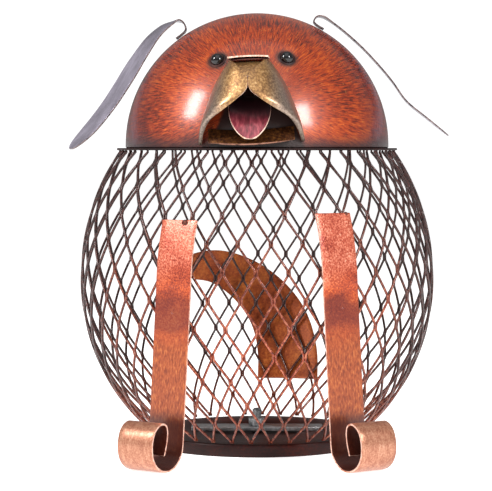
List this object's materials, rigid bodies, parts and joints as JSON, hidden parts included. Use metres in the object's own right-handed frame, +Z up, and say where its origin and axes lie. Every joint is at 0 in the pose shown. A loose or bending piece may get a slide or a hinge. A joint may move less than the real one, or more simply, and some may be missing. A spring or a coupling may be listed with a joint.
{
  "type": "dog-shaped wire mesh money bank",
  "caption": "Puppy-shaped coin bank: expanded-metal barrel body, sheet-metal head with muzzle and ears, strip legs with rolled feet, flat tail and a screwed hatch underneath.",
  "frame": {"origin": "on the table, under the middle of the space between the front of the feet and the back of the tail", "axes": "+Z up, -Y the way the puppy looks, +X its left side, which is on the viewer's right"},
  "size_m": [0.2034, 0.2176, 0.229],
  "materials": {
    "head_paint": "gloss",
    "leg_paint": "satin",
    "mesh_paint": "satin",
    "base_paint": "satin",
    "muzzle_bronze": "satin",
    "ear_lacquer": "gloss",
    "tail_paint": "satin",
    "tongue_paint": "satin",
    "eye_gloss": "gloss",
    "plain_steel": "satin"
  },
  "bodies": {
    "bank": {"base_pan": "base_paint", "hatch_crossbar": "plain_steel", "hatch_nut": "plain_steel", "barrel_mesh": "mesh_paint", "top_collar": "mesh_paint", "head_dome": "head_paint", "eye_left": "eye_gloss", "eye_right": "eye_gloss", "nose_bridge": "muzzle_bronze", "nose_pad": "muzzle_bronze", "muzzle_flap_left": "muzzle_bronze", "muzzle_flap_right": "muzzle_bronze", "tongue": "tongue_paint", "lower_jaw": "muzzle_bronze", "ear_left": "ear_lacquer", "ear_right": "ear_lacquer", "leg_left": "leg_paint", "leg_right": "leg_paint", "tail": "tail_paint"},
    "hatch": {"hatch_cover": "base_paint", "hatch_washer": "plain_steel"},
    "screw": {"hatch_screw": "plain_steel"}
  },
  "joints": [
    {"name": "hatch_drop", "type": "slide", "parent": "bank", "child": "hatch", "axis": [0, 0, -1], "range_m": [0, 0.009]},
    {"name": "screw_turn", "type": "hinge", "parent": "hatch", "child": "screw", "pos_m": [0, 0.00815, 0], "axis": [0, 0, -1], "range_deg": [0, 4050]}
  ],
  "couplings": [
    {"joint": "screw_turn", "follows": "hatch_drop", "rad_per_m": 7854}
  ]
}
